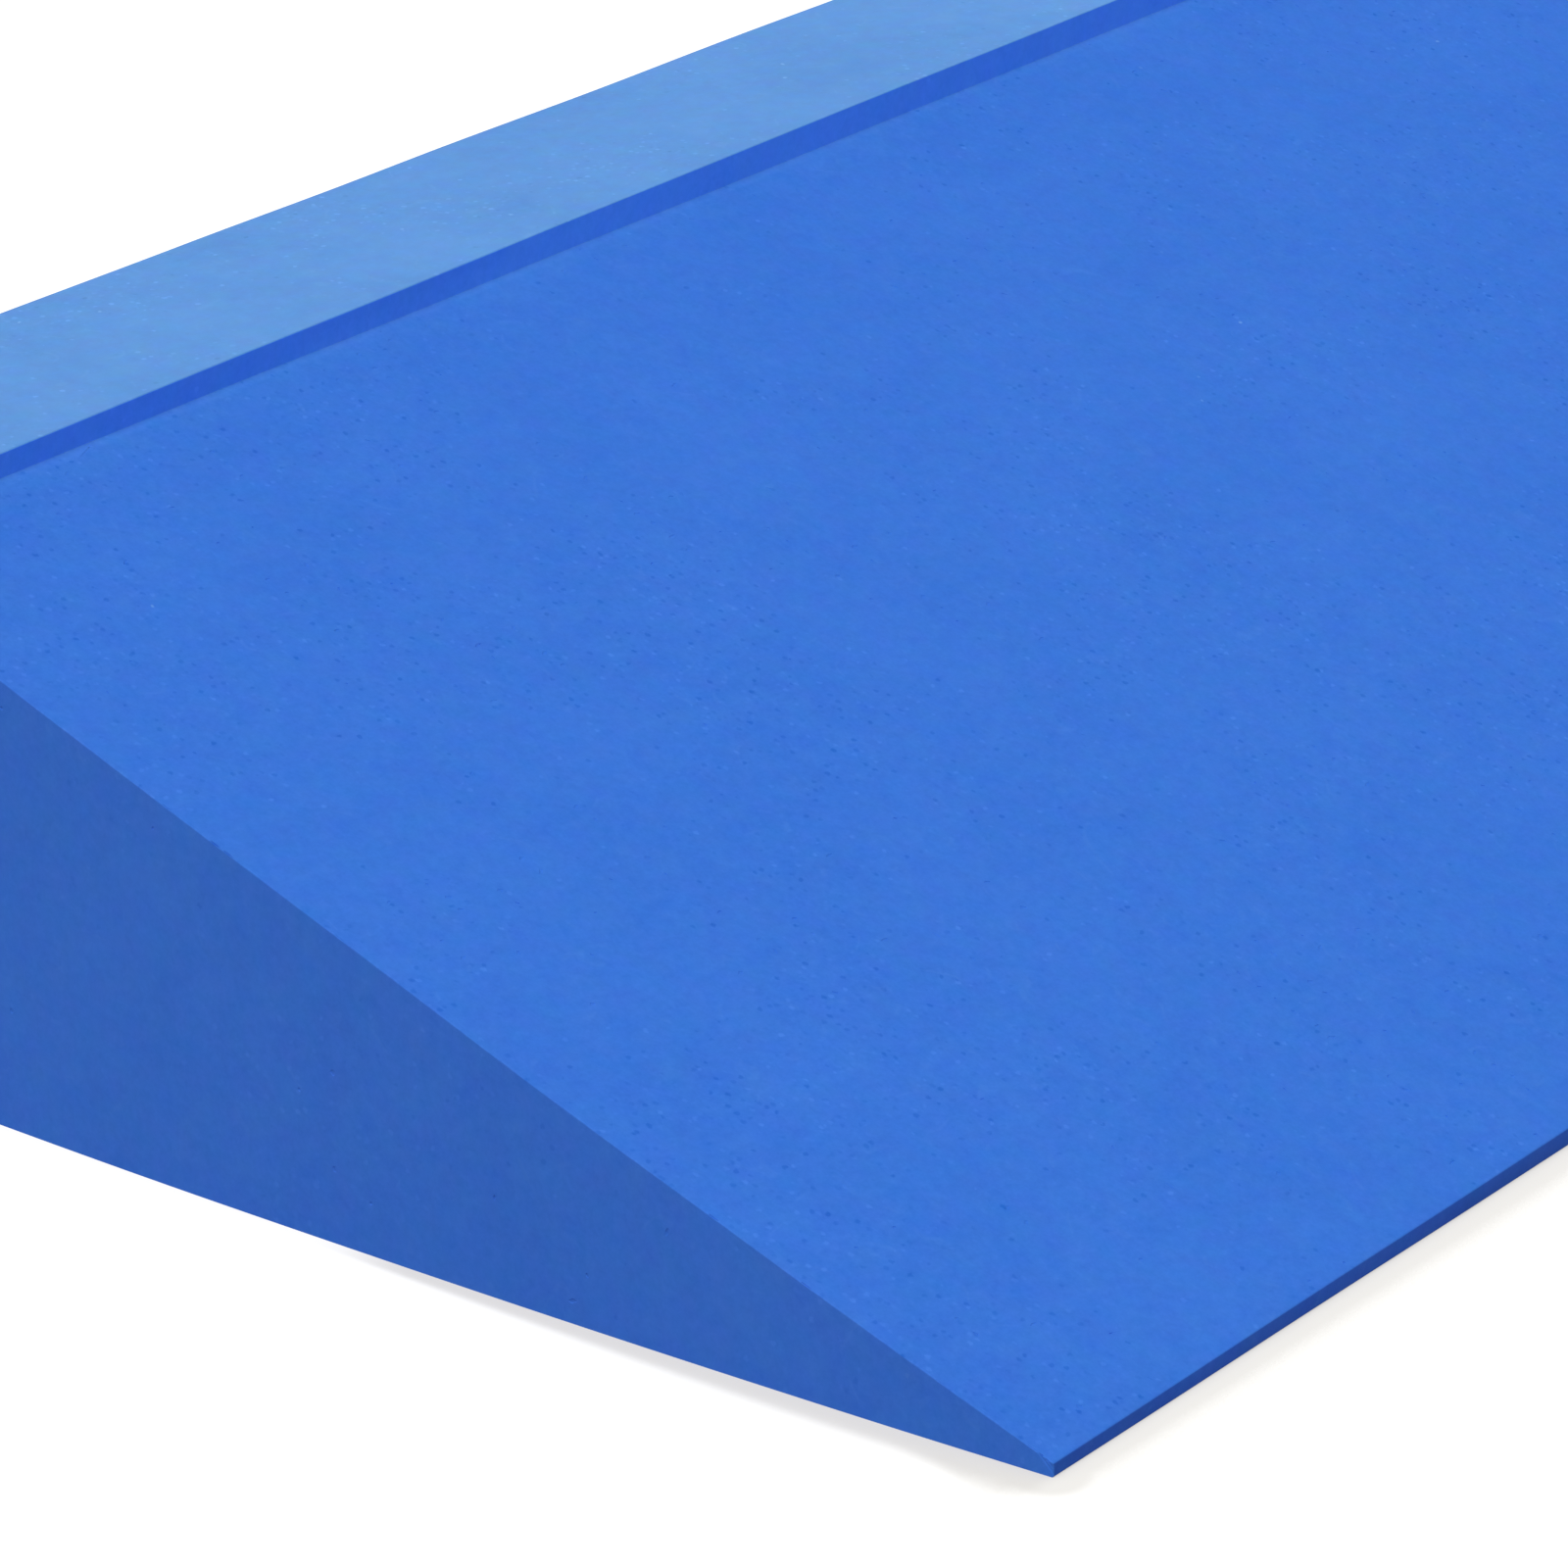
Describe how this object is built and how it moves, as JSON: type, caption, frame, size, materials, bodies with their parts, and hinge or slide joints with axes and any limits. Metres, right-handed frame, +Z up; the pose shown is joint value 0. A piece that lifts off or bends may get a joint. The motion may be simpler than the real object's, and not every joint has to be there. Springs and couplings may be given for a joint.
{
  "type": "yoga wedge",
  "caption": "Long foam wedge with a shallow ramp, a blunt thin front edge, and a low step up to a level ledge along the thick back.",
  "frame": {"origin": "middle of the base, on the surface that the wedge rests on", "axes": "+X along the wedge, +Y from the thin front edge to the thick back, +Z up"},
  "size_m": [0.508, 0.1524, 0.0508],
  "materials": {
    "foam": "matte closed-cell foam, cut faces with a fine open grain, smooth skin on the ledge"
  },
  "bodies": {
    "root": {"wedge": "foam"}
  },
  "joints": []
}
